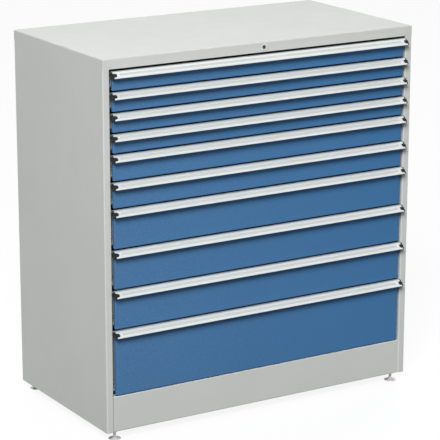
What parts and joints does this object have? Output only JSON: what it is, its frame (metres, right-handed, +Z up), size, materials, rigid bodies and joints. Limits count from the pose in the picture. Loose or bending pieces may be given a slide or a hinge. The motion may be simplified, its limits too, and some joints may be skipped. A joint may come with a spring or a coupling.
{
  "type": "drawer cabinet",
  "caption": "Steel drawer cabinet with shallow to deep full-width drawers on telescopic slides, label handles, a central lock and levelling feet.",
  "frame": {"origin": "on the floor, midway between the sides and midway between the handles and the back", "axes": "+X to the right seen from the front, +Y towards the back, +Z up"},
  "size_m": [0.956, 0.518, 1.02],
  "materials": {
    "carcass_paint": "satin powder coat, light grey",
    "front_paint": "satin powder coat, blue",
    "tray_paint": "satin powder coat, light grey",
    "handle_aluminium": "satin anodised",
    "cap_plastic": "fine moulded grain, black",
    "zinc_steel": "zinc plated",
    "lock_chrome": "polished nickel"
  },
  "bodies": {
    "cabinet": {"left_side": "carcass_paint", "right_side": "carcass_paint", "top_panel": "carcass_paint", "back_panel": "carcass_paint", "base_pan": "carcass_paint", "levelling_feet": "zinc_steel", "cabinet_rails": "zinc_steel", "lock_housing": "lock_chrome"},
    "lock_plug": {"lock_plug": "lock_chrome"},
    "lock_bar": {"lock_bar": "zinc_steel"},
    "drawer_01": {"drawer_01_tray": "tray_paint", "drawer_01_front": "front_paint", "drawer_01_handle": "handle_aluminium", "drawer_01_end_caps": "cap_plastic"},
    "mid_rails_01": {"drawer_01_mid_rails": "zinc_steel"},
    "drawer_02": {"drawer_02_tray": "tray_paint", "drawer_02_front": "front_paint", "drawer_02_handle": "handle_aluminium", "drawer_02_end_caps": "cap_plastic"},
    "mid_rails_02": {"drawer_02_mid_rails": "zinc_steel"},
    "drawer_03": {"drawer_03_tray": "tray_paint", "drawer_03_front": "front_paint", "drawer_03_handle": "handle_aluminium", "drawer_03_end_caps": "cap_plastic"},
    "mid_rails_03": {"drawer_03_mid_rails": "zinc_steel"},
    "drawer_04": {"drawer_04_tray": "tray_paint", "drawer_04_front": "front_paint", "drawer_04_handle": "handle_aluminium", "drawer_04_end_caps": "cap_plastic"},
    "mid_rails_04": {"drawer_04_mid_rails": "zinc_steel"},
    "drawer_05": {"drawer_05_tray": "tray_paint", "drawer_05_front": "front_paint", "drawer_05_handle": "handle_aluminium", "drawer_05_end_caps": "cap_plastic"},
    "mid_rails_05": {"drawer_05_mid_rails": "zinc_steel"},
    "drawer_06": {"drawer_06_tray": "tray_paint", "drawer_06_front": "front_paint", "drawer_06_handle": "handle_aluminium", "drawer_06_end_caps": "cap_plastic"},
    "mid_rails_06": {"drawer_06_mid_rails": "zinc_steel"},
    "drawer_07": {"drawer_07_tray": "tray_paint", "drawer_07_front": "front_paint", "drawer_07_handle": "handle_aluminium", "drawer_07_end_caps": "cap_plastic"},
    "mid_rails_07": {"drawer_07_mid_rails": "zinc_steel"},
    "drawer_08": {"drawer_08_tray": "tray_paint", "drawer_08_front": "front_paint", "drawer_08_handle": "handle_aluminium", "drawer_08_end_caps": "cap_plastic"},
    "mid_rails_08": {"drawer_08_mid_rails": "zinc_steel"},
    "drawer_09": {"drawer_09_tray": "tray_paint", "drawer_09_front": "front_paint", "drawer_09_handle": "handle_aluminium", "drawer_09_end_caps": "cap_plastic"},
    "mid_rails_09": {"drawer_09_mid_rails": "zinc_steel"},
    "drawer_10": {"drawer_10_tray": "tray_paint", "drawer_10_front": "front_paint", "drawer_10_handle": "handle_aluminium", "drawer_10_end_caps": "cap_plastic"},
    "mid_rails_10": {"drawer_10_mid_rails": "zinc_steel"}
  },
  "joints": [
    {"name": "lock_turn", "type": "hinge", "parent": "cabinet", "child": "lock_plug", "pos_m": [0, -0.241, 1.0065], "axis": [0, 1, 0], "range_deg": [0, 90]},
    {"name": "lock_bar_lift", "type": "slide", "parent": "cabinet", "child": "lock_bar", "axis": [0, 0, 1], "range_m": [0, 0.0099]},
    {"name": "drawer_01_slide", "type": "slide", "parent": "cabinet", "child": "drawer_01", "axis": [0, -1, 0], "range_m": [0, 0.41]},
    {"name": "mid_rails_01_slide", "type": "slide", "parent": "cabinet", "child": "mid_rails_01", "axis": [0, -1, 0], "range_m": [0, 0.205]},
    {"name": "drawer_02_slide", "type": "slide", "parent": "cabinet", "child": "drawer_02", "axis": [0, -1, 0], "range_m": [0, 0.41]},
    {"name": "mid_rails_02_slide", "type": "slide", "parent": "cabinet", "child": "mid_rails_02", "axis": [0, -1, 0], "range_m": [0, 0.205]},
    {"name": "drawer_03_slide", "type": "slide", "parent": "cabinet", "child": "drawer_03", "axis": [0, -1, 0], "range_m": [0, 0.41]},
    {"name": "mid_rails_03_slide", "type": "slide", "parent": "cabinet", "child": "mid_rails_03", "axis": [0, -1, 0], "range_m": [0, 0.205]},
    {"name": "drawer_04_slide", "type": "slide", "parent": "cabinet", "child": "drawer_04", "axis": [0, -1, 0], "range_m": [0, 0.41]},
    {"name": "mid_rails_04_slide", "type": "slide", "parent": "cabinet", "child": "mid_rails_04", "axis": [0, -1, 0], "range_m": [0, 0.205]},
    {"name": "drawer_05_slide", "type": "slide", "parent": "cabinet", "child": "drawer_05", "axis": [0, -1, 0], "range_m": [0, 0.41]},
    {"name": "mid_rails_05_slide", "type": "slide", "parent": "cabinet", "child": "mid_rails_05", "axis": [0, -1, 0], "range_m": [0, 0.205]},
    {"name": "drawer_06_slide", "type": "slide", "parent": "cabinet", "child": "drawer_06", "axis": [0, -1, 0], "range_m": [0, 0.41]},
    {"name": "mid_rails_06_slide", "type": "slide", "parent": "cabinet", "child": "mid_rails_06", "axis": [0, -1, 0], "range_m": [0, 0.205]},
    {"name": "drawer_07_slide", "type": "slide", "parent": "cabinet", "child": "drawer_07", "axis": [0, -1, 0], "range_m": [0, 0.41]},
    {"name": "mid_rails_07_slide", "type": "slide", "parent": "cabinet", "child": "mid_rails_07", "axis": [0, -1, 0], "range_m": [0, 0.205]},
    {"name": "drawer_08_slide", "type": "slide", "parent": "cabinet", "child": "drawer_08", "axis": [0, -1, 0], "range_m": [0, 0.41]},
    {"name": "mid_rails_08_slide", "type": "slide", "parent": "cabinet", "child": "mid_rails_08", "axis": [0, -1, 0], "range_m": [0, 0.205]},
    {"name": "drawer_09_slide", "type": "slide", "parent": "cabinet", "child": "drawer_09", "axis": [0, -1, 0], "range_m": [0, 0.41]},
    {"name": "mid_rails_09_slide", "type": "slide", "parent": "cabinet", "child": "mid_rails_09", "axis": [0, -1, 0], "range_m": [0, 0.205]},
    {"name": "drawer_10_slide", "type": "slide", "parent": "cabinet", "child": "drawer_10", "axis": [0, -1, 0], "range_m": [0, 0.41]},
    {"name": "mid_rails_10_slide", "type": "slide", "parent": "cabinet", "child": "mid_rails_10", "axis": [0, -1, 0], "range_m": [0, 0.205]}
  ],
  "couplings": [
    {"joint": "lock_turn", "follows": "lock_bar_lift", "rad_per_m": 158.6},
    {"joint": "mid_rails_01_slide", "follows": "drawer_01_slide", "ratio": 0.5},
    {"joint": "mid_rails_02_slide", "follows": "drawer_02_slide", "ratio": 0.5},
    {"joint": "mid_rails_03_slide", "follows": "drawer_03_slide", "ratio": 0.5},
    {"joint": "mid_rails_04_slide", "follows": "drawer_04_slide", "ratio": 0.5},
    {"joint": "mid_rails_05_slide", "follows": "drawer_05_slide", "ratio": 0.5},
    {"joint": "mid_rails_06_slide", "follows": "drawer_06_slide", "ratio": 0.5},
    {"joint": "mid_rails_07_slide", "follows": "drawer_07_slide", "ratio": 0.5},
    {"joint": "mid_rails_08_slide", "follows": "drawer_08_slide", "ratio": 0.5},
    {"joint": "mid_rails_09_slide", "follows": "drawer_09_slide", "ratio": 0.5},
    {"joint": "mid_rails_10_slide", "follows": "drawer_10_slide", "ratio": 0.5}
  ]
}
